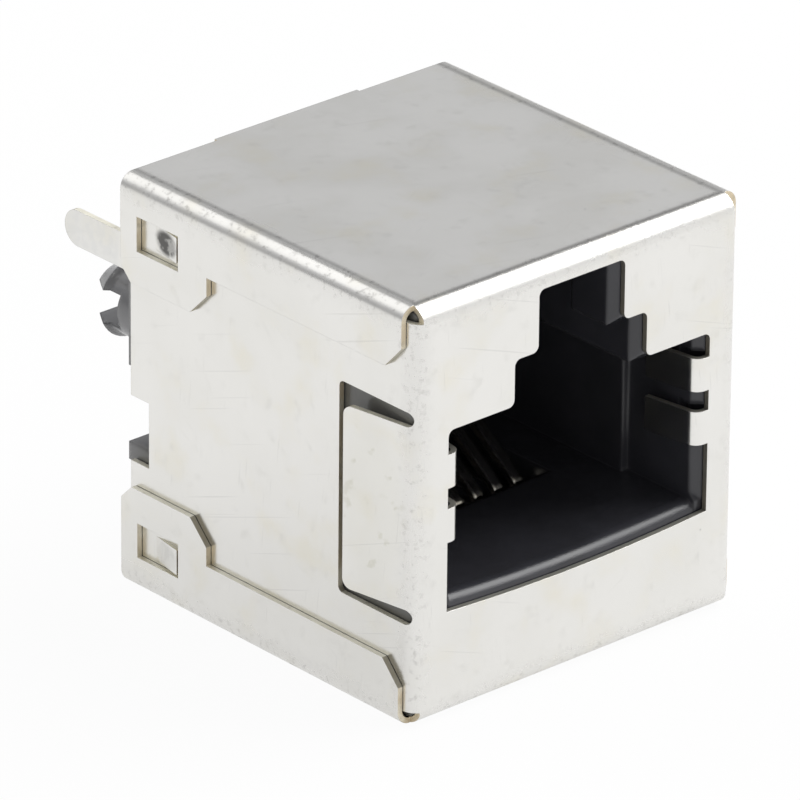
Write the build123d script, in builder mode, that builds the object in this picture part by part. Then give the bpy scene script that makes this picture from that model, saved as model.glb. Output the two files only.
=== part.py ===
from build123d import *
from math import cos, radians, sin, tan
import os

# Overall sizes in millimetres. The part lies on its side: the plug goes in along +Y,
# the circuit board is the plane y = 0, and the latch side of the port is up.
body_width = 16.86
body_height = 17.22
body_depth = 16.81

# Plated sheet of the shield
sheet = 0.23
lap_gap = 0.02
front_bend = 0.7
roof_bend = 0.85
flange_bend = 0.6
panel_setback = 0.45
flange_setback = 0.15
tongue_width = 7.2

# Plug port in the front plate, measured from the plug's centreline
port_width = 13.24
port_floor = 4.13
port_ceiling = 3.35
step_width = 6.68
step_ceiling = 5.23
latch_width = 4.33
port_roof = 0.87
port_sag = 0.24
port_corner = 0.28

# Spring fingers at both sides of the port
finger_spans = [(-1.27, 0.13), (0.97, 2.36)]
finger_bend = 0.5
finger_offset = 0.61
finger_lean = 9.0
finger_reach = 2.45
finger_root = 0.3

# Flanges that lap over the side panels
flange_gap = 0.66
flange_drop = 2.58
flange_nose = 1.62
flange_nose_run = 0.9
rear_lap_length = 5.0
rear_lap_drop = 4.31
rear_lap_slope = 0.95
rear_lap_corner = 0.6
window_length = 2.4
window_height = 1.45
window_setback = 0.95
window_drop = 1.44

# Lanced catches that stand in the flange windows
catch_length = 1.45
catch_height = 1.05
catch_rise = 0.24
catch_margin = 0.1

# Grounding flap cut out of each side panel
slot_height = 8.76
slot_front_gap = 0.31
slot_length = 4.05
flap_height = 7.55
flap_angle = 9.0
flap_length = 3.05
flap_corner = 0.4
slot_corner = 0.25

# Solder tabs and rear notches of the side panels
tab_width = 1.5
tab_length = 3.43
tab_centre = 5.3
notch_depth = 1.06
notch_top = 0.57
notch_height = 2.76

# Moulded housing
shell_clearance = 0.05
base_setback = 1.55
housing_corner = 0.5
lead_in = 0.35
lead_in_angle = 45.0
lip_radius = 0.6
floor_step = 0.41
cavity_depth = 12.75
guide_depth = 4.05
guide_inset = 0.3
front_wall = 2.3
latch_pocket_length = 7.6
finger_clearance = 0.12
finger_pocket_depth = 1.0
finger_pocket_reach = 0.52

# Locating pegs, split so that they spring into the board
peg_spacing = 12.7
peg_height = 2.25
peg_radius = 1.42
peg_barb = 1.6
peg_length = 2.5
peg_barb_setback = 0.85
peg_neck_setback = 1.05
peg_tip_radius = 1.14
peg_slit = 1.4
peg_slit_depth = 1.65
peg_pad_width = 3.2
peg_pad_height = 3.6

# Feet that stand on the board
foot_width = 1.2
foot_height = 0.75
foot_drop = 3.15
corner_foot = 1.3
corner_foot_inset = 0.5
centre_foot_width = 3.0
centre_foot_height = 1.0

# Contacts
contact_count = 8
contact_pitch = 1.016
wire_width = 0.46
wire_thickness = 0.34
contact_fit = 0.03
hairpin_radius = 0.45
hairpin_depth = 6.33
contact_rise = 34.9
free_end_depth = 12.5
lower_leg_drop = 5.34
tail_length = 3.0
tail_row_drop = 5.08
tail_row_spacing = 2.54
tail_jog_start = 3.35
tail_jog_end = 2.4
tail_bend = 0.25

# Contact carrier
carrier_clearance = 0.05
carrier_margin = 0.65
carrier_front_depth = 6.11
carrier_floor_drop = 7.15
comb_top_drop = 0.6
comb_foot_drop = 2.6
comb_depth = 0.85
comb_slot_width = 0.62
comb_slot_depth = 0.65
rib_height = 0.42
rib_gap = 0.12

# Length by which cutting bodies run past the faces that they cut
overrun = 1.0

# Places worked out from the sizes above
front_y = -body_depth
top_z = body_height / 2
flange_x = body_width / 2
side_x = flange_x - sheet - lap_gap
panel_half_height = top_z - flange_bend
roof_half_width = flange_x - flange_bend
latch_ceiling = top_z - port_roof
panel_front_y = front_y + front_bend
flange_front_y = front_y + flange_gap
block_x = side_x - sheet - shell_clearance
block_z = top_z - sheet - shell_clearance
block_front_y = front_y + sheet + shell_clearance
cavity_back_y = front_y + sheet + cavity_depth
latch_y = block_front_y + front_wall
guide_y = front_y + guide_depth
cavity_floor_z = -port_floor + floor_step
contact_xs = [(place - (contact_count - 1) / 2) * contact_pitch for place in range(contact_count)]
carrier_half_width = contact_xs[-1] + wire_width / 2 + carrier_margin
carrier_front_y = front_y + carrier_front_depth
comb_y = cavity_back_y - comb_depth
leg_shelf_z = -lower_leg_drop - wire_thickness / 2 - contact_fit


def sheet_strip(points, bend, side):
    """Edges of a bent sheet's section, drawn along its outer face."""
    with BuildLine() as section:
        FilletPolyline(*points, radius=bend)
        offset(amount=sheet, side=side)
    return section.edges()


def folded_block(inset):
    """Block with the front plate's bends at its corners, smaller all round by an inset."""
    length = body_depth - panel_setback
    with BuildPart() as block:
        with BuildSketch(Plane.XY.offset(inset - top_z)) as plan:
            with Locations((0, front_y + inset)):
                Rectangle(2 * (side_x - inset), length, align=(Align.CENTER, Align.MIN))
            fillet(plan.vertices().group_by(Axis.Y)[0], front_bend - inset)
        extrude(amount=2 * (top_z - inset))
        with BuildSketch(Plane.YZ) as profile:
            with Locations((front_y + inset, 0)):
                Rectangle(length, 2 * (top_z - inset), align=(Align.MIN, Align.CENTER))
            fillet(profile.vertices().group_by(Axis.X)[0], roof_bend - inset)
        extrude(amount=side_x, both=True, mode=Mode.INTERSECT)
    return block.part


def port_outline(inset, floor):
    """Edges of the stepped plug port, with a floor that sags in the middle."""
    main_x = port_width / 2 - inset
    step_x = step_width / 2 - inset
    latch_x = latch_width / 2 - inset
    main_z = port_ceiling - inset
    step_z = step_ceiling - inset
    latch_z = latch_ceiling - inset
    with BuildLine() as outline:
        ThreePointArc((-main_x, -floor), (0, -floor - port_sag), (main_x, -floor))
        Polyline(
            (main_x, -floor), (main_x, main_z), (step_x, main_z), (step_x, step_z),
            (latch_x, step_z), (latch_x, latch_z), (-latch_x, latch_z), (-latch_x, step_z),
            (-step_x, step_z), (-step_x, main_z), (-main_x, main_z), (-main_x, -floor),
        )
    return outline.edges()


def contact_line(row_z):
    """Centre line of one contact: free end, hairpin, lower leg and solder tail."""
    corner_y = front_y + hairpin_depth
    free_y = front_y + free_end_depth
    free_z = -lower_leg_drop + (free_y - corner_y) * tan(radians(contact_rise))
    with BuildLine() as path:
        FilletPolyline(
            (free_y, free_z), (corner_y, -lower_leg_drop), (-tail_jog_start, -lower_leg_drop),
            (-tail_jog_end, row_z), (tail_length, row_z),
            radius=[hairpin_radius, tail_bend, tail_bend],
        )
    return path.edges()


def tail_row(place):
    """Height of the solder row that a contact ends in; neighbours alternate."""
    return -tail_row_drop + (place % 2 - 1 / 2) * tail_row_spacing


# Front plate, bent back into the top, bottom and side panels, with reliefs where the bends meet
with BuildPart() as front_fold:
    add(folded_block(0))
    add(folded_block(sheet), mode=Mode.SUBTRACT)
    with BuildSketch(Plane.XZ.offset(panel_setback)):
        with GridLocations(2 * side_x, body_height, 2, 2):
            Rectangle(2 * (side_x - roof_half_width), 2 * flange_bend)
    extrude(amount=body_depth, mode=Mode.SUBTRACT)

# Shield: one sheet, cut and folded round the housing
lap_z = top_z - rear_lap_drop
with BuildPart() as shield:
    # Top panel with the two flanges that fold down over the side panels
    with BuildSketch(Plane.XZ.offset(flange_setback)):
        make_face(sheet_strip(
            [(-flange_x, lap_z), (-flange_x, top_z), (flange_x, top_z), (flange_x, lap_z)],
            flange_bend, Side.RIGHT,
        ))
    extrude(amount=-flange_setback - flange_front_y)
    # Side outline of the flanges: a narrow front run and a deep rear lap
    with BuildSketch(Plane.YZ):
        with BuildLine():
            edge_z = top_z - flange_drop
            lap_front_y = -flange_setback - rear_lap_length
            Polyline(
                (flange_front_y, top_z), (flange_front_y, top_z - flange_nose),
                (flange_front_y + flange_nose_run, edge_z), (lap_front_y, edge_z),
                (lap_front_y, lap_z + rear_lap_slope), (lap_front_y + rear_lap_slope, lap_z),
                (-flange_setback - rear_lap_corner, lap_z),
                (-flange_setback, lap_z + rear_lap_corner), (-flange_setback, top_z),
                close=True,
            )
        make_face()
    extrude(amount=flange_x + overrun, both=True, mode=Mode.INTERSECT)
    # Windows for the catches
    window_y = -flange_setback - window_setback - window_length / 2
    window_z = top_z - window_drop - window_height / 2
    with BuildSketch(Plane.YZ):
        with Locations((window_y, window_z)):
            Rectangle(window_length, window_height)
    extrude(amount=flange_x + overrun, both=True, mode=Mode.SUBTRACT)
    # Front edge between the flanges, where the roof bend begins
    with BuildSketch(Plane.XY.offset(top_z - sheet)):
        with Locations((0, front_y + roof_bend)):
            Rectangle(2 * roof_half_width, roof_bend, align=(Align.CENTER, Align.MAX))
    extrude(amount=sheet, mode=Mode.SUBTRACT)
    # Tongue of the top panel that reaches the board
    with BuildSketch(Plane.XY.offset(top_z - sheet)):
        with Locations((0, -flange_setback)):
            Rectangle(tongue_width, 2 * flange_setback)
    extrude(amount=sheet)
    mirror(about=Plane.XY)
    add(front_fold.part)
    # Full height of the side panels behind the bends, with the solder tabs
    tab_root_y = -panel_setback - sheet
    tab_shoulder_y = tab_length - tab_width / 2
    for hand in (-1, 1):
        with BuildSketch(Plane.YZ.offset(hand * (side_x - sheet / 2))):
            with Locations(((panel_front_y - panel_setback) / 2, 0)):
                Rectangle(-panel_setback - panel_front_y, 2 * panel_half_height)
            with Locations(((tab_root_y + tab_shoulder_y) / 2, tab_centre)):
                Rectangle(tab_shoulder_y - tab_root_y, tab_width)
            with Locations((tab_shoulder_y, tab_centre)):
                Circle(tab_width / 2)
        extrude(amount=sheet / 2, both=True)
    # Notches in the board edge of the side panels and the slots round the grounding flaps
    slot_front_y = front_y + slot_front_gap
    slot_back_y = slot_front_y + slot_length
    slot_gap = (slot_height - flap_height) / 2
    slot_z = (slot_height + flap_height) / 4
    flap_gap_y = panel_front_y + flap_length
    for hand in (-1, 1):
        with BuildSketch(Plane.YZ.offset(hand * side_x)) as slots:
            with Locations((flap_gap_y, 0)):
                Rectangle(slot_back_y - flap_gap_y, slot_height, align=(Align.MIN, Align.CENTER))
            fillet(slots.vertices().group_by(Axis.X)[-1], slot_corner)
            with Locations((slot_front_y, 0)):
                Rectangle(slot_length - slot_corner, flap_height, align=(Align.MIN, Align.CENTER))
            with Locations((slot_front_y + slot_gap / 2, slot_z), (slot_front_y + slot_gap / 2, -slot_z)):
                Circle(slot_gap / 2)
                Rectangle(slot_length - slot_gap, slot_gap, align=(Align.MIN, Align.CENTER))
            with Locations((-panel_setback - notch_depth, -notch_top)):
                Rectangle(notch_depth + overrun, notch_height, align=(Align.MIN, Align.MAX))
        extrude(amount=front_bend, both=True, mode=Mode.SUBTRACT)
    # Port in the front plate
    with BuildSketch(Plane.XZ.offset(-front_y)) as port:
        make_face(port_outline(0, port_floor))
        step_corners = port.vertices().group_by(Axis.Y)[1:]
        fillet([corner for row in step_corners for corner in row], port_corner)
    extrude(amount=-2 * sheet, mode=Mode.SUBTRACT)
    # Grounding flaps, bent a little outwards, and the spring fingers
    lean = radians(flap_angle)
    flap_tangent_x = side_x - front_bend + front_bend * cos(lean)
    flap_tangent_y = front_y + front_bend * (1 - sin(lean))
    flap_corner_x = flap_tangent_x - front_bend * (1 - sin(lean)) * tan(lean)
    flap_end_x = flap_tangent_x + flap_length * sin(lean)
    flap_end_y = flap_tangent_y + flap_length * cos(lean)
    with BuildSketch(Plane.XY.offset(-flap_height / 2)):
        make_face(sheet_strip(
            [(side_x - 2 * front_bend, front_y), (flap_corner_x, front_y), (flap_end_x, flap_end_y)],
            front_bend, Side.LEFT,
        ))
    extrude(amount=flap_height)
    mirror(about=Plane.YZ)
    flap_ends = shield.edges().filter_by_position(Axis.Y, flap_end_y - sheet, flap_end_y + sheet)
    flap_corners = flap_ends.group_by(Axis.Z)
    fillet(flap_corners[0] + flap_corners[-1], flap_corner)
    finger_corner_x = port_width / 2 - finger_offset
    finger_end_x = finger_corner_x - finger_reach * tan(radians(finger_lean))
    for low_z, high_z in finger_spans:
        with BuildSketch(Plane.XY.offset(low_z)):
            make_face(sheet_strip(
                [
                    (port_width / 2 + finger_root, front_y), (finger_corner_x, front_y),
                    (finger_end_x, front_y + finger_reach),
                ],
                finger_bend, Side.RIGHT,
            ))
        extrude(amount=high_z - low_z)
    mirror(about=Plane.YZ)
    # Catches lanced out of the side panels: each stands in a flange window and meets its front edge
    catch_front_y = window_y - window_length / 2 + catch_margin
    catch_top_z = top_z - window_drop - catch_margin
    with BuildSketch(Plane.YZ):
        with Locations((catch_front_y, catch_top_z), (catch_front_y, catch_height - catch_top_z)):
            Rectangle(catch_length, catch_height, align=(Align.MIN, Align.MAX))
    extrude(amount=side_x + sheet / 2, both=True, mode=Mode.SUBTRACT)
    for base_z in (catch_top_z - catch_height, -catch_top_z):
        with BuildSketch(Plane.XY.offset(base_z)):
            with BuildLine():
                Polyline(
                    (side_x, catch_front_y + catch_length),
                    (side_x + catch_rise, catch_front_y),
                    (side_x + catch_rise - sheet, catch_front_y),
                    (side_x - sheet, catch_front_y + catch_length),
                    close=True,
                )
            make_face()
            mirror(about=Plane.YZ)
        extrude(amount=catch_height)
shield.part.label = "shield"

# Housing: one moulding that fills the shield and guides the plug
with BuildPart() as housing:
    with BuildSketch(Plane.XZ.offset(base_setback)):
        Rectangle(2 * block_x, 2 * block_z)
    extrude(amount=-base_setback - block_front_y)
    fillet(housing.faces().sort_by(Axis.Y)[0].edges(), housing_corner)
    # Plug cavity with a lead-in round its mouth and a rounded lip at its floor
    with BuildSketch(Plane.XZ.offset(-block_front_y)):
        make_face(port_outline(lead_in, port_floor - floor_step))
    extrude(amount=block_front_y - cavity_back_y, mode=Mode.SUBTRACT)
    mouth = housing.faces().sort_by(Axis.Y)[0].inner_wires()[0].edges()
    fillet(mouth.sort_by(Axis.Z)[0], lip_radius)
    with BuildSketch(Plane.XZ.offset(-block_front_y)):
        make_face(port_outline(0, port_floor - floor_step))
    extrude(amount=-lead_in, taper=lead_in_angle, mode=Mode.SUBTRACT)
    # Guide ribs that narrow the deep end of the cavity
    with BuildSketch(Plane.XY.offset(-port_floor)):
        for hand in (-1, 1):
            with Locations((hand * (port_width / 2 - lead_in - guide_inset / 2), guide_y)):
                Rectangle(guide_inset, cavity_back_y - guide_y, align=(Align.CENTER, Align.MIN))
    extrude(amount=port_floor + port_ceiling - lead_in)
    # Pocket behind the front wall that the plug's latch springs into
    with BuildSketch(Plane.XY):
        with Locations((0, latch_y)):
            Rectangle(step_width - 2 * lead_in, latch_pocket_length, align=(Align.CENTER, Align.MIN))
    extrude(amount=latch_ceiling - lead_in, mode=Mode.SUBTRACT)
    # Pockets behind the spring fingers
    for low_z, high_z in finger_spans:
        with BuildSketch(Plane.XY.offset(low_z - finger_clearance)):
            with Locations((0, block_front_y)):
                Rectangle(
                    port_width - 2 * lead_in + 2 * finger_pocket_reach, finger_pocket_depth,
                    align=(Align.CENTER, Align.MIN),
                )
        extrude(amount=high_z - low_z + 2 * finger_clearance, mode=Mode.SUBTRACT)
    # Bay for the contact carrier, open to the board, and the trough above it for the contacts
    with BuildSketch(Plane.YZ):
        with BuildLine():
            bay_floor_z = -carrier_floor_drop - carrier_clearance
            bay_top_z = -comb_top_drop + carrier_clearance
            bay_shelf_z = leg_shelf_z + carrier_clearance
            bay_front_y = carrier_front_y - carrier_clearance
            Polyline(
                (bay_front_y, bay_floor_z), (-base_setback, bay_floor_z), (-base_setback, bay_top_z),
                (cavity_back_y, bay_top_z), (cavity_back_y, bay_shelf_z), (bay_front_y, bay_shelf_z),
                close=True,
            )
        make_face()
    extrude(amount=carrier_half_width + carrier_clearance, both=True, mode=Mode.SUBTRACT)
    with BuildSketch(Plane.XY.offset(leg_shelf_z)):
        with Locations((0, bay_front_y)):
            Rectangle(
                2 * carrier_half_width - carrier_margin, cavity_back_y - bay_front_y,
                align=(Align.CENTER, Align.MIN),
            )
    extrude(amount=cavity_floor_z - leg_shelf_z, mode=Mode.SUBTRACT)
    # Feet that stand on the board: in the notches, under the pegs, at the corners and in the middle
    with BuildSketch(Plane.XZ.offset(base_setback)):
        for hand in (-1, 1):
            with Locations((hand * (block_x - foot_width / 2), -foot_drop)):
                Rectangle(foot_width, foot_height)
            with Locations((hand * (block_x - peg_pad_width / 2), peg_height)):
                Rectangle(peg_pad_width, peg_pad_height)
        corner_x = block_x - corner_foot_inset - corner_foot / 2
        corner_z = block_z - corner_foot_inset - corner_foot / 2
        with GridLocations(2 * corner_x, 2 * corner_z, 2, 2):
            Rectangle(corner_foot, corner_foot)
        Rectangle(centre_foot_width, centre_foot_height)
    extrude(amount=-base_setback)
    # Locating pegs: a turned profile with a barbed end, split by a slit
    for hand in (-1, 1):
        peg_x = hand * peg_spacing / 2
        with BuildSketch(Plane.XY.offset(peg_height)):
            with BuildLine():
                Polyline(
                    (peg_x, -base_setback), (peg_x + peg_radius, -base_setback),
                    (peg_x + peg_radius, peg_length - peg_neck_setback),
                    (peg_x + peg_barb, peg_length - peg_barb_setback),
                    (peg_x + peg_tip_radius, peg_length), (peg_x, peg_length),
                    close=True,
                )
            make_face()
        revolve(axis=Axis((peg_x, 0, peg_height), (0, 1, 0)))
    with BuildSketch(Plane.YZ):
        with Locations((peg_length - peg_slit_depth, peg_height)):
            Rectangle(peg_slit_depth + overrun, peg_slit, align=(Align.MIN, Align.CENTER))
    extrude(amount=block_x + overrun, both=True, mode=Mode.SUBTRACT)
housing.part.label = "housing"

# Contact carrier: an insert pushed in from the board side, with a comb for the free ends
with BuildPart() as carrier:
    with BuildSketch(Plane.YZ):
        with BuildLine():
            Polyline(
                (carrier_front_y, -carrier_floor_drop), (-base_setback, -carrier_floor_drop),
                (-base_setback, -comb_top_drop), (comb_y, -comb_top_drop), (comb_y, -comb_foot_drop),
                (cavity_back_y, -comb_foot_drop), (cavity_back_y, leg_shelf_z),
                (carrier_front_y, leg_shelf_z),
                close=True,
            )
        make_face()
    extrude(amount=carrier_half_width, both=True)
    # Ribs between the lower legs
    rib_width = contact_pitch - wire_width - 2 * rib_gap
    with BuildSketch(Plane.XY.offset(leg_shelf_z)):
        for rib_x in [x + contact_pitch / 2 for x in contact_xs[:-1]]:
            with Locations((rib_x, carrier_front_y)):
                Rectangle(rib_width, cavity_back_y - carrier_front_y, align=(Align.CENTER, Align.MIN))
    extrude(amount=rib_height)
    # Comb slots for the free ends and channels for the contacts
    with BuildSketch(Plane.XY.offset(-comb_foot_drop)):
        for x in contact_xs:
            with Locations((x, comb_y)):
                Rectangle(comb_slot_width, comb_slot_depth, align=(Align.CENTER, Align.MIN))
    extrude(amount=comb_foot_drop, mode=Mode.SUBTRACT)
    for place, x in enumerate(contact_xs):
        with BuildSketch(Plane.YZ.offset(x - wire_width / 2 - contact_fit)):
            trace(contact_line(tail_row(place)), line_width=wire_thickness + 2 * contact_fit)
        extrude(amount=wire_width + 2 * contact_fit, mode=Mode.SUBTRACT)
carrier.part.label = "contact_carrier"

# Contacts: springs bent from flat wire, numbered from left to right
contacts = []
for place, x in enumerate(contact_xs):
    with BuildPart() as contact:
        with BuildSketch(Plane.YZ.offset(x - wire_width / 2)):
            trace(contact_line(tail_row(place)), line_width=wire_thickness)
        extrude(amount=wire_width)
    contact.part.label = f"contact_{place + 1}"
    contacts.append(contact)

os.makedirs("parts", exist_ok=True)
for piece in (shield, housing, carrier, *contacts):
    export_step(piece.part, f"parts/{piece.part.label}.step")
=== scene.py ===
"""Looks of a shielded modular jack that lies on its side on a pale table.

The shield is plated sheet with bare brassy cut edges, the housing is black moulding and the
contacts are plated spring wire. Lengths are in metres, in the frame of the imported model, and the
finishes measure the surface in millimetres.
"""

import math

import bpy
from mathutils import Matrix, Vector
from mathutils.bvhtree import BVHTree


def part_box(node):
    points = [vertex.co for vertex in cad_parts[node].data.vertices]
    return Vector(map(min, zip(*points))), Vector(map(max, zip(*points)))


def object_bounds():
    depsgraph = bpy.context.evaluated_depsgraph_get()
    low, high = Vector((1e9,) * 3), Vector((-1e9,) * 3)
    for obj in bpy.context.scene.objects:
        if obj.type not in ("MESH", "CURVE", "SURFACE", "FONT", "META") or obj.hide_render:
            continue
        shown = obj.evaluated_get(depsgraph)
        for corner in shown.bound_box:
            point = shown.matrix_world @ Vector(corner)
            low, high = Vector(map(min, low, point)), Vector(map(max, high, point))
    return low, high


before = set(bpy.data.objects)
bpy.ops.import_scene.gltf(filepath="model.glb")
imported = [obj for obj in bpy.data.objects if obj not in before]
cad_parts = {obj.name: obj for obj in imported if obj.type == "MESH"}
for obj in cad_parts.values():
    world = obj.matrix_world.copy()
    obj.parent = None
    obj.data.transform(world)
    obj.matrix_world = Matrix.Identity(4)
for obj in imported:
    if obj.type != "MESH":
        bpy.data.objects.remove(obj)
frame_low, frame_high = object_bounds()

MM = 0.001
METRES_TO_MM = 1000.0

# Sheet of the shield: its thickness, how many times that its flats are at least wide, and the
# share of it by which a probe starts under the skin
SHEET = 0.23 * MM
NARROWEST_FLAT = 2.0
PROBE_START_SHARE = 0.02

# Radii that the edges of each finish are rounded to
SHEET_EDGE = 0.03 * MM
CUT_EDGE = 0.04 * MM
MOULD_EDGE = 0.06 * MM
MOULD_CORNER = 0.25 * MM
WIRE_EDGE = 0.18 * MM

# Depths of the relief of the sheet and of the finer grains
SHEET_RELIEF = 0.02 * MM
FINE_RELIEF = 0.01 * MM

# Heights in the sheet's relief, as multiples of its depth
WAVE_HEIGHT = 2.5
CRAZING_HEIGHT = 0.6
LONG_MARK_HEIGHT = -0.05
DISH_HEIGHT = -1.5

# Roughness of each finish without and within its clouds or stains, and what the mouldings'
# clouds, the sheet's folds and their crazing add
SHEET_ROUGHNESS = (0.22, 0.27)
CUT_ROUGHNESS = (0.5, 0.38)
WIRE_ROUGHNESS = (0.05, 0.11)
MOULD_CLOUD_ROUGHER = 0.1
FOLD_ROUGHER = 0.06
CRAZING_ROUGHER = 0.1

# Share of metal in the look of the soiled cut edges, and level of the mouldings' highlights
CUT_METALLIC_SHARE = 0.55
MOULD_SPECULAR = 0.6

# Distances off the jack's middle: of the flanges' outer faces, and past which a face is outside
FLANGE_X = 8.43 * MM
OUTSIDE_X = 7.6 * MM

# Distance from the shield's outer faces of the rims where its folds meet the flats, along which a dark
# line of painted shade is drawn
FOLD_RIM = 0.73 * MM

# Half the width of the plug port, and the depth that its fingers reach to, within which the cut edges
# get painted shade
PORT_HALF_WIDTH = 6.7 * MM
FINGER_REACH = 3.5 * MM

# Catches in the flange windows: their middles along the jack and off its middle plane, and size
CATCH_Y = -2.68 * MM
CATCH_Z = 6.55 * MM
CATCH_LENGTH = 1.75 * MM
CATCH_HEIGHT = 1.25 * MM

# Share of the painted dark reflection on the catches that the lower catches get, and the height
# about the middle plane within which it changes
LOWER_CATCH_SHARE = 0.2
CATCH_CHANGE = 1.0 * MM

# Grounding flaps in both sides: their middle along the jack, and their size
FLAP_Y = -14.6 * MM
FLAP_LENGTH = 3.6 * MM
FLAP_HEIGHT = 8.4 * MM

# Distance past the board's face at which the tabs have their full coat of solder
TINNED_Y = 0.5 * MM

# Sides of the housing, which the sheet rubs: where the rubbing begins and where they lie
RUBBED_SIDE_X = 7.6 * MM
BLOCK_SIDE_X = 7.85 * MM

# Pegs: where painted light on the moulding begins along the jack, and where it is full
PEG_LIGHT_START_Y = -1.4 * MM
PEG_LIGHT_FULL_Y = 0.2 * MM

# How far along an axis a face's normal points: at least, on a side or an end, and from where to
# where, on a level face and on an upright one, which place the painted light and shade on the cut edges
SQUARE_ON = 0.7
LEVEL_FACE = (0.9, 0.98)
UPRIGHT_FACE = (0.3, 0.1)

# Colours of the plated sheet and of what marks it, with painted shade along the folds and their rims
# and a painted dark reflection in the catches
SHEET_BRIGHT = (0.845, 0.835, 0.805)
SHEET_CLOUDED = (0.82, 0.81, 0.775)
# Painted shade that darkens the strips along the folds
FOLD_PAINTED_SHADE = (0.62, 0.61, 0.59)
YELLOW_STAIN = (0.82, 0.785, 0.67)
SOLDER_COAT = (0.70, 0.70, 0.69)
HANDLED_SHEET = (0.68, 0.665, 0.57)
SHEET_GRIME = (0.58, 0.57, 0.53)
LONG_MARK = (0.55, 0.54, 0.52)
FINE_MARK = (0.5, 0.49, 0.46)
CRAZED_FOLD = (0.42, 0.41, 0.39)
# Painted shade: dark line along the rims where the folds meet the flats
RIM_PAINTED_SHADE = (0.27, 0.265, 0.255)
# Painted dark reflection on the catches in the flange windows
CATCH_PAINTED_REFLECTION = (0.06, 0.058, 0.054)
SHEET_PIT = (0.3, 0.29, 0.27)

# Colours of the sheet's cut edges, with painted light on their level faces and painted shade on their
# sloped faces and in the plug port
EDGE_BRASSY = (0.72, 0.62, 0.45)
EDGE_PALE = (0.83, 0.77, 0.63)
# Painted light on the level cut faces
EDGE_LEVEL_PAINTED_LIGHT = (0.98, 0.95, 0.82)
# Painted shade on the sloped cut faces
EDGE_SLOPED_PAINTED_SHADE = (0.30, 0.29, 0.23)
EDGE_SOIL = (0.40, 0.36, 0.27)
EDGE_BURR = (0.86, 0.84, 0.74)
# Painted shade on the cut edges in the plug port and along its fingers
PORT_RIM_PAINTED_SHADE = (0.16, 0.155, 0.14)

# Colours of the mouldings: marks, and how much lighter and bluer than its tone each part is
SIDE_RUB = (0.17, 0.168, 0.15)
MOULD_DUST = (0.12, 0.12, 0.12)
# Painted light that makes the pegs lighter grey
PEG_PAINTED_LIGHT = (0.25, 0.25, 0.255)
PLAIN_CAST = (1.0, 1.15)
CLOUD_CAST = (1.3, 1.55)
ARRIS_CAST = (2.2, 2.4)

# Colours of the contact wire
WIRE_BRIGHT = (0.92, 0.88, 0.78)
WIRE_STAINED = (0.84, 0.79, 0.68)
DRAWING_LINE = (0.5, 0.45, 0.35)

# Table: half its size, its colour, and the share of plain white in it that the camera sees and
# that the jack mirrors
TABLE_HALF_SIZE = 2.0
TABLE_PALE = (0.84, 0.84, 0.84)
WHITE = (1.0, 1.0, 1.0)
SEEN_WHITE = 0.95
MIRRORED_WHITE = 0.71

# Surroundings: the way to the window and how its glow spreads, the rises between which the upper
# walls and the ceiling set in, and the tones from the horizon up
WINDOW_WAY = (0.62, -0.78, 0.0)
WINDOW_SPREAD = (0.0, 0.8)
WALLS_RISE = (0.2, 0.42)
CEILING_RISE = (0.45, 0.6)
DIM_HORIZON = (0.41, 0.41, 0.42)
WINDOW_HORIZON = (0.95, 0.95, 0.95)
UPPER_WALLS = (0.70, 0.705, 0.72)
CEILING = (0.30, 0.30, 0.305)

# Distance of the soft boxes from the jack, in metres
BOX_DISTANCE = 0.5

# Camera: its place, the direction that it looks in and the lens that fits the photograph
CAMERA_PLACE = Vector((-238.241, -273.007, 168.523)) * MM
CAMERA_AZIMUTH = -41.815
CAMERA_ELEVATION = 25.39
CAMERA_ROLL = 0.55
CAMERA_LENS = 465.92
SENSOR_WIDTH = 36.0


# Shader tree helpers

def in_mm(length):
    """A length in millimetres, which the finishes measure in."""
    return length * METRES_TO_MM


def place(tree, kind, inputs=None, **settings):
    """Adds a shader node. An input is a value or another node's output."""
    node = tree.nodes.new("ShaderNode" + kind)
    for name, value in settings.items():
        setattr(node, name, value)
    for name, value in (inputs or {}).items():
        if isinstance(value, bpy.types.NodeSocket):
            tree.links.new(value, node.inputs[name])
        else:
            node.inputs[name].default_value = value
    return node


def maths(tree, operation, first, second=0.0):
    """Result of one sum on two values or outputs."""
    return place(tree, "Math", {0: first, 1: second}, operation=operation).outputs[0]


def size_of(tree, value):
    """A value without its sign."""
    return maths(tree, "ABSOLUTE", value)


def axes(tree, vector):
    """The three parts of a vector, by the names X, Y and Z."""
    return place(tree, "SeparateXYZ", {"Vector": vector}).outputs


def remap(tree, value, low, high, new_low=0.0, new_high=1.0):
    """Smooth step of a value from one range to another."""
    node = place(
        tree, "MapRange",
        {"Value": value, "From Min": low, "From Max": high, "To Min": new_low, "To Max": new_high},
        interpolation_type="SMOOTHSTEP",
    )
    return node.outputs["Result"]


def uneven(tree, mask, patches, without, within=1.0):
    """A mask that is weaker or stronger in patches: its shares without and within them."""
    return maths(tree, "MULTIPLY", mask, remap(tree, patches, 0.0, 1.0, without, within))


def solid(colour):
    """A colour at full opacity."""
    return (*colour, 1.0)


def blend(tree, share, first, second):
    """Mix of two colours."""
    return place(tree, "Mix", {0: share, 6: first, 7: second}, data_type="RGBA").outputs[2]


def stained(tree, colour, layers):
    """A colour stained in turn by layers: a mask, its strength and the stain's own colour."""
    for mask, strength, stain in layers:
        share = maths(tree, "MULTIPLY", mask, strength)
        colour = blend(tree, share, colour, solid(stain))
    return colour


def shifted(tree, value, layers):
    """A value raised or lowered in turn through masks, each by its own amount."""
    for mask, amount in layers:
        value = maths(tree, "ADD", value, maths(tree, "MULTIPLY", mask, amount))
    return value


def relief(tree, normal, height, depth, strength):
    """Surface normal that a height pushes about."""
    bump = place(
        tree, "Bump", {"Strength": strength, "Distance": depth, "Height": height, "Normal": normal},
    )
    return bump.outputs[0]


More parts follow.
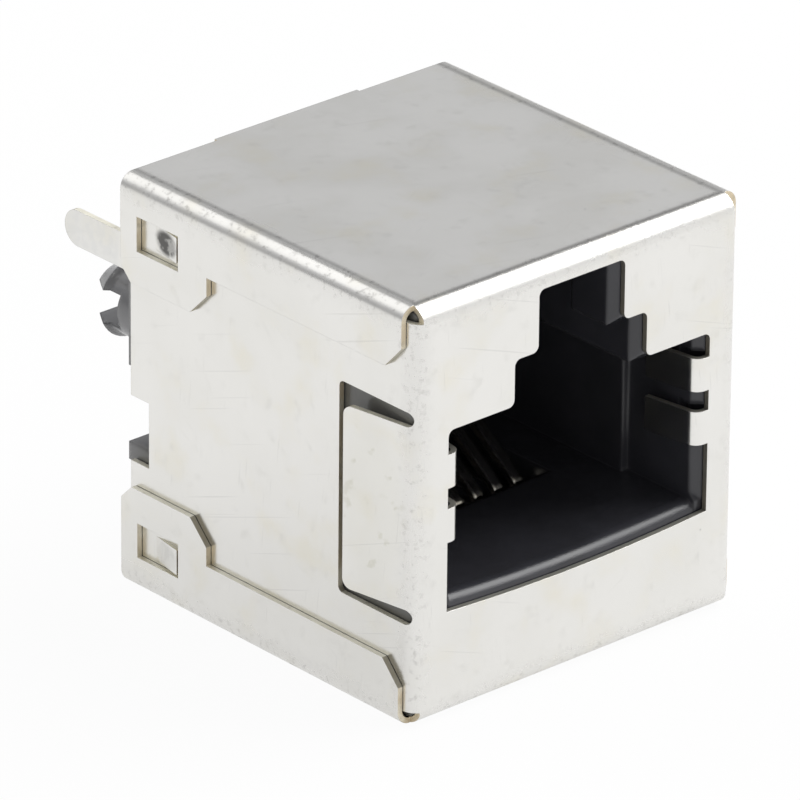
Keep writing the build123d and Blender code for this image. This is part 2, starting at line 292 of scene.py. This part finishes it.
def new_group(name, inputs, outputs):
    """Empty shader node group. Inputs map names to defaults; a tuple makes a vector input."""
    group = bpy.data.node_groups.new(name, "ShaderNodeTree")
    for label, default in inputs.items():
        kind = "NodeSocketVector" if isinstance(default, tuple) else "NodeSocketFloat"
        socket = group.interface.new_socket(label, in_out="INPUT", socket_type=kind)
        socket.default_value = default
    for label, kind in outputs.items():
        group.interface.new_socket(label, in_out="OUTPUT", socket_type="NodeSocket" + kind)
    entry = group.nodes.new("NodeGroupInput")
    leave = group.nodes.new("NodeGroupOutput")
    return group, entry.outputs, leave.inputs


def use_group(tree, group, inputs):
    """Places a node group in a material with its own values."""
    node = tree.nodes.new("ShaderNodeGroup")
    node.node_tree = group
    for name, value in inputs.items():
        if isinstance(value, bpy.types.NodeSocket):
            tree.links.new(value, node.inputs[name])
        else:
            node.inputs[name].default_value = value
    return node.outputs


# Effects that several finishes share

def make_clouding():
    """Soft patches, such as handling smudges, on a surface measured in millimetres."""
    group, given, result = new_group(
        "Clouding",
        {"Place": (0.0, 0.0, 0.0), "Patch size": 3.0, "Roughness": 0.5, "Low": 0.4, "High": 0.6},
        {"Mask": "Float"},
    )
    scale = maths(group, "DIVIDE", 1.0, given["Patch size"])
    noise = place(
        group, "TexNoise",
        {"Vector": given["Place"], "Scale": scale, "Detail": 4.0, "Roughness": given["Roughness"]},
    )
    mask = remap(group, noise.outputs["Fac"], given["Low"], given["High"])
    group.links.new(mask, result["Mask"])
    return group


def make_scratches():
    """Straight fine scratches that lie in the face that they mark, all turned one way."""
    group, given, result = new_group(
        "Scratches",
        {
            "Place": (0.0, 0.0, 0.0), "Turn": 0.0, "Length": 6.0, "Width": 0.08, "Threshold": 0.66,
            "Contrast": 0.08, "Face shift": 5.0,
        },
        {"Mask": "Float"},
    )
    facing = axes(group, place(group, "TexCoord").outputs["Normal"])
    on_side = maths(group, "GREATER_THAN", size_of(group, facing["X"]), SQUARE_ON)
    on_end = maths(group, "GREATER_THAN", size_of(group, facing["Y"]), SQUARE_ON)
    upright = maths(group, "MAXIMUM", on_side, on_end)
    spot = axes(group, given["Place"])
    across = place(group, "Mix", {0: on_side, 2: spot["X"], 3: spot["Y"]}, data_type="FLOAT")
    along = place(group, "Mix", {0: upright, 2: spot["Y"], 3: spot["Z"]}, data_type="FLOAT")
    flat = place(group, "CombineXYZ", {"X": across.outputs[0], "Y": along.outputs[0], "Z": on_side})
    turned = place(
        group, "VectorRotate", {"Vector": flat.outputs[0], "Angle": given["Turn"]},
        rotation_type="Z_AXIS",
    )
    stretch = place(
        group, "CombineXYZ",
        {
            "X": maths(group, "DIVIDE", 1.0, given["Length"]),
            "Y": maths(group, "DIVIDE", 1.0, given["Width"]),
            "Z": given["Face shift"],
        },
    )
    drawn = place(
        group, "VectorMath", {0: turned.outputs[0], 1: stretch.outputs[0]}, operation="MULTIPLY",
    )
    noise = place(group, "TexNoise", {"Vector": drawn.outputs[0], "Scale": 1.0, "Detail": 1.0})
    top = maths(group, "ADD", given["Threshold"], given["Contrast"])
    group.links.new(remap(group, noise.outputs["Fac"], given["Threshold"], top), result["Mask"])
    return group


def make_specks():
    """Small sharp specks and pits, thinned out by a share of them that is kept."""
    group, given, result = new_group(
        "Specks",
        {"Place": (0.0, 0.0, 0.0), "Spacing": 0.5, "Size": 0.1, "Kept": 0.3},
        {"Mask": "Float"},
    )
    scale = maths(group, "DIVIDE", 1.0, given["Spacing"])
    cells = place(group, "TexVoronoi", {"Vector": given["Place"], "Scale": scale, "Randomness": 1.0})
    dots = remap(group, cells.outputs["Distance"], given["Size"], 0.0)
    draw = place(group, "SeparateColor", {"Color": cells.outputs["Color"]})
    kept = maths(group, "LESS_THAN", draw.outputs["Red"], given["Kept"])
    group.links.new(maths(group, "MULTIPLY", dots, kept), result["Mask"])
    return group


def make_edge_rub():
    """Rounded edges, and a mask of the arrises where handling rubs first."""
    group, given, result = new_group(
        "Edge rub",
        {"Radius": SHEET_EDGE, "Unrubbed": 0.99, "Rubbed": 0.8},
        {"Mask": "Float", "Normal": "Vector"},
    )
    round_edge = place(group, "Bevel", {"Radius": given["Radius"]}, samples=6)
    true_normal = place(group, "NewGeometry")
    agreement = place(
        group, "VectorMath", {0: round_edge.outputs[0], 1: true_normal.outputs["Normal"]},
        operation="DOT_PRODUCT",
    )
    mask = remap(group, agreement.outputs["Value"], given["Unrubbed"], given["Rubbed"])
    group.links.new(mask, result["Mask"])
    group.links.new(round_edge.outputs[0], result["Normal"])
    return group


def make_worked_bends():
    """Masks of the strips along the shield's folds, and of the rims where the flats begin, which get a
    line of painted shade.
    """
    group, given, result = new_group(
        "Worked bends",
        {
            "Place": (0.0, 0.0, 0.0), "Half width": 8.0, "Half height": 8.0, "Front": -16.0,
            "Worked most": 0.1, "Reach": 1.3, "Radius": 0.8, "Rim": 0.24,
        },
        {"Mask": "Float", "Rim": "Float"},
    )
    spot = axes(group, given["Place"])
    to_side = maths(group, "SUBTRACT", given["Half width"], size_of(group, spot["X"]))
    to_top = maths(group, "SUBTRACT", given["Half height"], size_of(group, spot["Z"]))
    to_front = maths(group, "SUBTRACT", spot["Y"], given["Front"])
    nearer = maths(group, "MINIMUM", to_side, to_top)
    further = maths(group, "MAXIMUM", to_side, to_top)
    second = maths(group, "MAXIMUM", nearer, maths(group, "MINIMUM", further, to_front))
    off_rim = size_of(group, maths(group, "SUBTRACT", second, given["Radius"]))
    on_top = maths(group, "LESS_THAN", to_top, maths(group, "MINIMUM", to_side, to_front))
    rim_painted_shade = maths(group, "MULTIPLY", remap(group, off_rim, given["Rim"], 0.0), on_top)
    group.links.new(remap(group, second, given["Reach"], given["Worked most"]), result["Mask"])
    group.links.new(rim_painted_shade, result["Rim"])
    return group


def make_side_patch():
    """Mask of an oval patch on both sides, at the same height above and below the middle."""
    group, given, result = new_group(
        "Side patch",
        {
            "Place": (0.0, 0.0, 0.0), "Along": -2.0, "Off middle": 6.0, "Length": 1.4, "Height": 1.0,
            "Full share": 0.55,
        },
        {"Mask": "Float"},
    )
    spot = axes(group, given["Place"])
    run = maths(group, "SUBTRACT", spot["Y"], given["Along"])
    rise = maths(group, "SUBTRACT", size_of(group, spot["Z"]), given["Off middle"])
    half_length = maths(group, "MULTIPLY", given["Length"], 0.5)
    half_height = maths(group, "MULTIPLY", given["Height"], 0.5)
    off = place(
        group, "CombineXYZ",
        {"X": maths(group, "DIVIDE", run, half_length), "Y": maths(group, "DIVIDE", rise, half_height)},
    )
    far = place(group, "VectorMath", {0: off.outputs[0]}, operation="LENGTH").outputs["Value"]
    outside = maths(group, "GREATER_THAN", size_of(group, spot["X"]), in_mm(OUTSIDE_X))
    oval = remap(group, far, 1.0, given["Full share"])
    group.links.new(maths(group, "MULTIPLY", oval, outside), result["Mask"])
    return group


clouding = make_clouding()
scratches = make_scratches()
specks = make_specks()
edge_rub = make_edge_rub()
worked_bends = make_worked_bends()
side_patch = make_side_patch()


# Materials

def new_finish(name):
    """A material with its tree, its Principled shader and its surface place in millimetres."""
    finish = bpy.data.materials.new(name)
    finish.use_nodes = True
    tree = finish.node_tree
    shader = tree.nodes["Principled BSDF"]
    coordinates = place(tree, "TexCoord")
    scaled = place(
        tree, "VectorMath", {0: coordinates.outputs["Object"], "Scale": METRES_TO_MM},
        operation="SCALE",
    )
    return finish, tree, shader, scaled.outputs[0]


def join(tree, shader, colour, rough, normal):
    """Feeds the varying colour, roughness and normal into the shader."""
    tree.links.new(colour, shader.inputs["Base Color"])
    tree.links.new(rough, shader.inputs["Roughness"])
    tree.links.new(normal, shader.inputs["Normal"])


def sheet_patches(tree, mm):
    """Masks of the soft patches, fine scratches and pits on the plated sheet, by name."""
    patches = {
        "clouds": {"Patch size": 4.5, "Low": 0.35, "High": 0.68},
        "stains": {"Patch size": 2.2, "Low": 0.5, "High": 0.8},
        "crazing": {"Patch size": 0.28, "Roughness": 0.7, "Low": 0.52, "High": 0.68},
        "grime": {"Patch size": 0.75, "Low": 0.56, "High": 0.8},
        "scuffs": {"Patch size": 0.4, "Low": 0.42, "High": 0.6},
    }
    strokes = {
        "long marks": {"Turn": 0.35, "Length": 9.0, "Width": 0.13, "Threshold": 0.69},
        "short marks": {"Turn": -0.5, "Length": 2.2, "Width": 0.07, "Threshold": 0.72},
        "upright marks": {"Turn": 1.48, "Length": 1.8, "Width": 0.09, "Threshold": 0.68},
    }
    masks = {}
    for name, sizes in patches.items():
        masks[name] = use_group(tree, clouding, {"Place": mm, **sizes})["Mask"]
    for name, sizes in strokes.items():
        masks[name] = use_group(tree, scratches, {"Place": mm, **sizes})["Mask"]
    pits = use_group(tree, specks, {"Place": mm, "Spacing": 0.9, "Size": 0.07, "Kept": 0.12})
    masks["pits"] = pits["Mask"]
    return masks


def sheet_places(tree, mm, patches):
    """Masks of the sheet's folds, catches, flaps and solder tabs, uneven in patches, by name."""
    shield_low, shield_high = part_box("shield")
    spot = axes(tree, mm)
    folds = use_group(
        tree, worked_bends,
        {
            "Place": mm, "Half width": in_mm(FLANGE_X), "Half height": in_mm(shield_high.z),
            "Front": in_mm(shield_low.y), "Radius": in_mm(FOLD_RIM),
        },
    )
    catch = use_group(
        tree, side_patch,
        {
            "Place": mm, "Along": in_mm(CATCH_Y), "Off middle": in_mm(CATCH_Z),
            "Length": in_mm(CATCH_LENGTH), "Height": in_mm(CATCH_HEIGHT),
        },
    )
    flap = use_group(
        tree, side_patch,
        {
            "Place": mm, "Along": in_mm(FLAP_Y), "Off middle": 0.0,
            "Length": in_mm(FLAP_LENGTH), "Height": in_mm(FLAP_HEIGHT),
        },
    )
    # Where the catches get a painted dark reflection, weaker in scuffed patches
    catch_painted_reflection = uneven(tree, catch["Mask"], patches["scuffs"], without=1.0, within=0.6)
    change = in_mm(CATCH_CHANGE)
    upper = remap(tree, spot["Z"], -change, change, new_low=LOWER_CATCH_SHARE)
    past_board = remap(tree, spot["Y"], 0.0, in_mm(TINNED_Y))
    smudges = remap(tree, patches["grime"], low=0.0, high=0.5, new_low=0.3)
    return {
        "folds": folds["Mask"],
        "worked": maths(tree, "MULTIPLY", folds["Mask"], patches["crazing"]),
        # Rims of the folds, for a line of painted shade, patchy with the crazing
        "rim_painted_shade": uneven(tree, folds["Rim"], patches["crazing"], without=0.65),
        "catch": catch["Mask"],
        "catch_painted_reflection": maths(tree, "MULTIPLY", catch_painted_reflection, upper),
        "tinned": uneven(tree, past_board, patches["scuffs"], without=0.6),
        "handled": maths(tree, "MULTIPLY", flap["Mask"], smudges),
    }


def plated_sheet():
    """Bright plated sheet: faint clouds, drawn-in scratches, specks and crazing on its folds, with
    painted shade along the folds and their rims and a painted dark reflection in the catches.
    """
    finish, tree, shader, mm = new_finish("plated_sheet")
    edge = use_group(tree, edge_rub, {"Radius": SHEET_EDGE})
    masks = sheet_patches(tree, mm)
    masks.update(sheet_places(tree, mm, masks))
    colour = blend(tree, masks["clouds"], solid(SHEET_BRIGHT), solid(SHEET_CLOUDED))
    colour = stained(tree, colour, [
        # Painted shade along the folds
        (masks["folds"], 0.18, FOLD_PAINTED_SHADE),
        (masks["stains"], 0.6, YELLOW_STAIN),
        (masks["tinned"], 0.5, SOLDER_COAT),
        (masks["handled"], 0.6, HANDLED_SHEET),
        (masks["grime"], 0.2, SHEET_GRIME),
        (masks["long marks"], 0.22, LONG_MARK),
        (masks["short marks"], 0.18, FINE_MARK),
        (masks["upright marks"], 0.14, FINE_MARK),
        (masks["worked"], 0.45, CRAZED_FOLD),
        # Painted shade along the rims of the folds
        (masks["rim_painted_shade"], 0.88, RIM_PAINTED_SHADE),
        # Painted dark reflection in the catches
        (masks["catch_painted_reflection"], 0.95, CATCH_PAINTED_REFLECTION),
        (masks["pits"], 0.55, SHEET_PIT),
    ])
    rough = remap(tree, masks["clouds"], 0.0, 1.0, *SHEET_ROUGHNESS)
    rough = shifted(tree, rough, [
        (masks["folds"], FOLD_ROUGHER),
        (masks["worked"], CRAZING_ROUGHER),
    ])
    waves = place(tree, "TexNoise", {"Vector": mm, "Scale": 0.35, "Detail": 2.0, "Roughness": 0.5})
    height = shifted(tree, 0.0, [
        (waves.outputs["Fac"], WAVE_HEIGHT),
        (masks["worked"], CRAZING_HEIGHT),
        (masks["long marks"], LONG_MARK_HEIGHT),
        (masks["catch"], DISH_HEIGHT),
    ])
    normal = relief(tree, edge["Normal"], height, SHEET_RELIEF, strength=0.25)
    shader.inputs["Metallic"].default_value = 1.0
    join(tree, shader, colour, rough, normal)
    return finish


def bare_edge():
    """Cut edge of the sheet, where its pale brassy core shows, with soil, painted light on its level
    faces and painted shade on its sloped faces and in the plug port.
    """
    finish, tree, shader, mm = new_finish("bare_edge")
    edge = use_group(tree, edge_rub, {"Radius": CUT_EDGE})
    stain = use_group(tree, clouding, {"Place": mm, "Patch size": 0.9, "Low": 0.4, "High": 0.65})
    soil = use_group(tree, clouding, {"Place": mm, "Patch size": 0.35, "Low": 0.55, "High": 0.75})
    facing = axes(tree, place(tree, "TexCoord").outputs["Normal"])
    spot = axes(tree, mm)
    # Painted light on level cut faces and painted shade on sloped ones, set by the faces' normals
    level_painted_light = remap(tree, size_of(tree, facing["Z"]), *LEVEL_FACE)
    upright = remap(tree, size_of(tree, facing["Z"]), *UPRIGHT_FACE)
    sloped_painted_shade = maths(tree, "SUBTRACT", 1.0, maths(tree, "MAXIMUM", level_painted_light, upright))
    # Cut edges in the plug port, which get painted shade
    fingers_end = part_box("shield")[0].y + FINGER_REACH
    in_front = maths(tree, "LESS_THAN", spot["Y"], in_mm(fingers_end))
    in_port = maths(tree, "LESS_THAN", size_of(tree, spot["X"]), in_mm(PORT_HALF_WIDTH))
    port_rim_painted_shade = maths(tree, "MULTIPLY", in_front, in_port)
    colour = blend(tree, stain["Mask"], solid(EDGE_BRASSY), solid(EDGE_PALE))
    colour = blend(tree, level_painted_light, colour, solid(EDGE_LEVEL_PAINTED_LIGHT))
    colour = stained(tree, colour, [
        # Painted shade on the sloped cut faces
        (sloped_painted_shade, 0.6, EDGE_SLOPED_PAINTED_SHADE),
        (soil["Mask"], 0.4, EDGE_SOIL),
        (edge["Mask"], 0.35, EDGE_BURR),
        # Painted shade on the cut edges in the plug port
        (port_rim_painted_shade, 0.75, PORT_RIM_PAINTED_SHADE),
    ])
    rough = remap(tree, stain["Mask"], 0.0, 1.0, *CUT_ROUGHNESS)
    grain = place(tree, "TexNoise", {"Vector": mm, "Scale": 12.0, "Detail": 2.0}).outputs["Fac"]
    normal = relief(tree, edge["Normal"], grain, FINE_RELIEF, strength=0.3)
    shader.inputs["Metallic"].default_value = CUT_METALLIC_SHARE
    join(tree, shader, colour, rough, normal)
    return finish


def cast(tone, shares):
    """Dark plastic tone made lighter and bluer by two shares."""
    lighter, bluer = shares
    return (tone * lighter, tone * lighter, tone * bluer)


def black_moulding(name, tone, gloss, peg_light_share):
    """Black moulded plastic with a fine spark-eroded grain, rubbed arrises, and painted light that
    makes the pegs lighter grey.
    """
    finish, tree, shader, mm = new_finish(name)
    edge = use_group(tree, edge_rub, {"Radius": MOULD_EDGE})
    soft_corners = use_group(tree, edge_rub, {"Radius": MOULD_CORNER})
    clouds = use_group(tree, clouding, {"Place": mm, "Patch size": 2.5, "Low": 0.3, "High": 0.8})
    dust = use_group(tree, specks, {"Place": mm, "Spacing": 0.7, "Size": 0.07, "Kept": 0.12})
    spot = axes(tree, mm)
    off_middle = size_of(tree, spot["X"])
    rubbed_sides = remap(tree, off_middle, in_mm(RUBBED_SIDE_X), in_mm(BLOCK_SIDE_X))
    # Painted light on the pegs, from where they leave the block
    peg_painted_light = remap(tree, spot["Y"], in_mm(PEG_LIGHT_START_Y), in_mm(PEG_LIGHT_FULL_Y))
    plain = solid(cast(tone, PLAIN_CAST))
    clouded = solid(cast(tone, CLOUD_CAST))
    colour = stained(tree, blend(tree, clouds["Mask"], plain, clouded), [
        (rubbed_sides, 0.7, SIDE_RUB),
        (edge["Mask"], 0.6, cast(tone, ARRIS_CAST)),
        (dust["Mask"], 0.3, MOULD_DUST),
        # Painted light on the pegs
        (peg_painted_light, peg_light_share, PEG_PAINTED_LIGHT),
    ])
    rough = remap(tree, clouds["Mask"], 0.0, 1.0, gloss, gloss + MOULD_CLOUD_ROUGHER)
    grain = place(tree, "TexNoise", {"Vector": mm, "Scale": 22.0, "Detail": 2.0}).outputs["Fac"]
    normal = relief(tree, soft_corners["Normal"], grain, FINE_RELIEF, strength=0.5)
    shader.inputs["Specular IOR Level"].default_value = MOULD_SPECULAR
    join(tree, shader, colour, rough, normal)
    return finish


def plated_wire():
    """Flat spring wire, plated, with drawing lines along it and darker stains."""
    finish, tree, shader, mm = new_finish("plated_wire")
    edge = use_group(tree, edge_rub, {"Radius": WIRE_EDGE})
    lines = use_group(
        tree, scratches, {"Place": mm, "Turn": 1.57, "Length": 3.0, "Width": 0.05, "Threshold": 0.6},
    )
    stain = use_group(tree, clouding, {"Place": mm, "Patch size": 1.2, "Low": 0.35, "High": 0.65})
    colour = blend(tree, stain["Mask"], solid(WIRE_BRIGHT), solid(WIRE_STAINED))
    colour = stained(tree, colour, [(lines["Mask"], 0.2, DRAWING_LINE)])
    rough = remap(tree, stain["Mask"], 0.0, 1.0, *WIRE_ROUGHNESS)
    normal = relief(tree, edge["Normal"], lines["Mask"], FINE_RELIEF, strength=0.2)
    shader.inputs["Metallic"].default_value = 1.0
    join(tree, shader, colour, rough, normal)
    return finish


# Finishes put on the pieces

def dress(node, *finishes):
    """Gives a CAD node its finishes, the first of them to all its faces."""
    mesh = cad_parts[node].data
    mesh.materials.clear()
    for finish in finishes:
        mesh.materials.append(finish)


def cut_faces(mesh):
    """Numbers of the faces that lie on the sheet's cut edges: behind them it is deep, not thin."""
    corners = [vertex.co for vertex in mesh.vertices]
    tree = BVHTree.FromPolygons(corners, [face.vertices for face in mesh.polygons])
    skin_depth = NARROWEST_FLAT * SHEET
    start_depth = PROBE_START_SHARE * SHEET
    numbers = []
    for face in mesh.polygons:
        inward = -face.normal
        far_side = tree.ray_cast(face.center + inward * start_depth, inward, skin_depth)[0]
        if far_side is None:
            numbers.append(face.index)
    return numbers


def dress_shield():
    """Plated sheet all over, and the bare finish on the cut edges."""
    dress("shield", plated_sheet(), bare_edge())
    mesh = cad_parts["shield"].data
    for number in cut_faces(mesh):
        mesh.polygons[number].material_index = 1


def dress_contacts():
    """One finish of plated wire for all the contacts."""
    wire = plated_wire()
    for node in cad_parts:
        if node.startswith("contact_") and node != "contact_carrier":
            dress(node, wire)


dress_shield()
dress("housing", black_moulding("black_housing", tone=0.034, gloss=0.14, peg_light_share=0.75))
dress("contact_carrier", black_moulding("black_carrier", tone=0.04, gloss=0.4, peg_light_share=0.3))
dress_contacts()


# Studio: table, sky, soft boxes and camera

def table_finish():
    """Pale matt table that looks whiter to the camera and where the jack mirrors it."""
    finish = bpy.data.materials.new("table_white")
    finish.use_nodes = True
    tree = finish.node_tree
    tree.nodes.clear()
    shaded = place(tree, "BsdfDiffuse", {"Color": solid(TABLE_PALE)})
    white = place(tree, "Emission", {"Color": solid(WHITE), "Strength": 1.0})
    path = place(tree, "LightPath").outputs
    mirrored = maths(tree, "MAXIMUM", path["Is Glossy Ray"], path["Is Transmission Ray"])
    seen_share = maths(tree, "MULTIPLY", path["Is Camera Ray"], SEEN_WHITE)
    mirrored_share = maths(tree, "MULTIPLY", mirrored, MIRRORED_WHITE)
    share = maths(tree, "MAXIMUM", seen_share, mirrored_share)
    mixed = place(tree, "MixShader", {0: share, 1: shaded.outputs[0], 2: white.outputs[0]})
    out = place(tree, "OutputMaterial")
    tree.links.new(mixed.outputs[0], out.inputs["Surface"])
    return finish


def pale_table(height):
    """Wide white table under the jack. It shows white and keeps a soft shadow."""
    reach = TABLE_HALF_SIZE
    corners = [
        (-reach, -reach, height), (reach, -reach, height),
        (reach, reach, height), (-reach, reach, height),
    ]
    mesh = bpy.data.meshes.new("table")
    mesh.from_pydata(corners, [], [(0, 1, 2, 3)])
    mesh.materials.append(table_finish())
    table = bpy.data.objects.new("table", mesh)
    bpy.context.collection.objects.link(table)


def studio_sky():
    """World: pale surroundings, dimmer at the horizon and towards the ceiling."""
    world = bpy.data.worlds.new("studio_sky")
    bpy.context.scene.world = world
    world.use_nodes = True
    tree = world.node_tree
    tree.nodes.clear()
    way = place(tree, "TexCoord").outputs["Generated"]
    rise = axes(tree, way)["Z"]
    to_window = place(tree, "VectorMath", {0: way, 1: WINDOW_WAY}, operation="DOT_PRODUCT")
    window = remap(tree, to_window.outputs["Value"], *WINDOW_SPREAD)
    horizon = blend(tree, window, solid(DIM_HORIZON), solid(WINDOW_HORIZON))
    walls = blend(tree, remap(tree, rise, *WALLS_RISE), horizon, solid(UPPER_WALLS))
    tone = blend(tree, remap(tree, rise, *CEILING_RISE), walls, solid(CEILING))
    background = place(tree, "Background", {"Color": tone, "Strength": 1.0})
    out = place(tree, "OutputWorld")
    tree.links.new(background.outputs[0], out.inputs["Surface"])


def soft_box(name, direction, width, height, power):
    """Rectangular soft light that faces the jack."""
    lamp = bpy.data.lights.new(name, "AREA")
    lamp.shape = "RECTANGLE"
    lamp.size = width
    lamp.size_y = height
    lamp.energy = power
    light = bpy.data.objects.new(name, lamp)
    bpy.context.collection.objects.link(light)
    outward = Vector(direction).normalized()
    light.location = outward * BOX_DISTANCE
    light.rotation_mode = "QUATERNION"
    light.rotation_quaternion = outward.to_track_quat("Z", "Y")


def photo_camera():
    """Camera at the photograph's place and angle."""
    angles = (CAMERA_AZIMUTH, CAMERA_ELEVATION, CAMERA_ROLL)
    turn, rise, roll = (math.radians(angle) for angle in angles)
    back = Vector((math.sin(turn) * math.cos(rise), -math.cos(turn) * math.cos(rise), math.sin(rise)))
    level_right = Vector((0, 0, 1)).cross(back).normalized()
    level_up = back.cross(level_right)
    right = level_right * math.cos(roll) + level_up * math.sin(roll)
    up = level_up * math.cos(roll) - level_right * math.sin(roll)
    turned = Matrix((right, up, back)).transposed().to_4x4()
    lens = bpy.data.cameras.new("photo_camera")
    lens.sensor_width = SENSOR_WIDTH
    lens.lens = CAMERA_LENS
    camera = bpy.data.objects.new("photo_camera", lens)
    camera.matrix_world = Matrix.Translation(CAMERA_PLACE) @ turned
    bpy.context.collection.objects.link(camera)
    bpy.context.scene.camera = camera


pale_table(frame_low.z)
studio_sky()
soft_box("left_box", direction=(-0.13, 0.67, 0.73), width=0.48, height=0.30, power=0.45)
soft_box("right_box", direction=(0.60, -0.20, 0.77), width=0.40, height=0.42, power=2.4)
photo_camera()
bpy.context.scene.view_settings.view_transform = "Standard"
